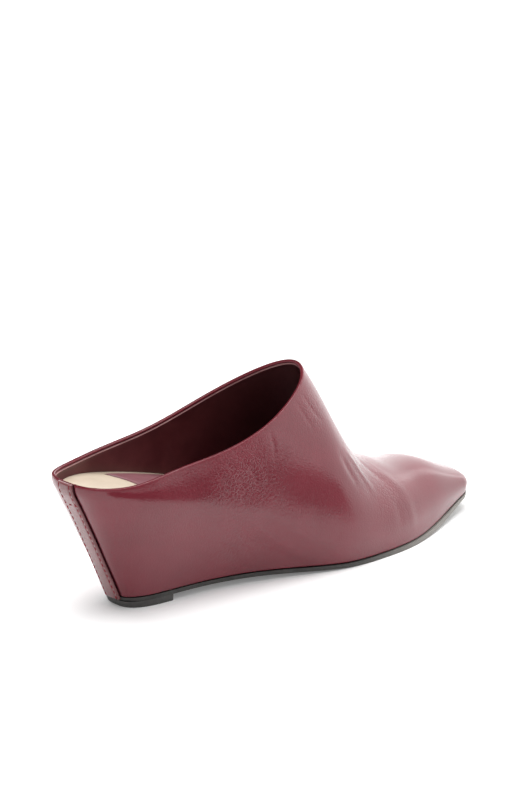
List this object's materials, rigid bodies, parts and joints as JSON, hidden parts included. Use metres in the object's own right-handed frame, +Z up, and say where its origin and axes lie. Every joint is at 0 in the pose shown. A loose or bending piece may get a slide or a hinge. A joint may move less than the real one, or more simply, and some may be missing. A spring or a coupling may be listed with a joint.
{
  "type": "wedge mule",
  "caption": "Closed-toe wedge mule, right shoe: slip-on leather upper with an open back collar, covered wedge heel and thin sole",
  "frame": {"origin": "on the floor under the middle of the shoe's bounding box", "axes": "+X from the heel to the toe, +Y to the inner side of the foot, +Z up"},
  "size_m": [0.2538, 0.074, 0.095],
  "materials": {
    "upper_leather": "glossy crinkled",
    "strip_leather": "glossy",
    "insole_leather": "smooth satin",
    "panel_leather": "smooth satin",
    "wedge_block": "matte",
    "sole_rubber": "matte",
    "lift_rubber": "matte"
  },
  "bodies": {
    "root": {"upper": "upper_leather", "back_strip": "strip_leather", "insole": "insole_leather", "sock_panel": "panel_leather", "wedge": "wedge_block", "outsole": "sole_rubber", "top_lift": "lift_rubber"}
  },
  "joints": []
}
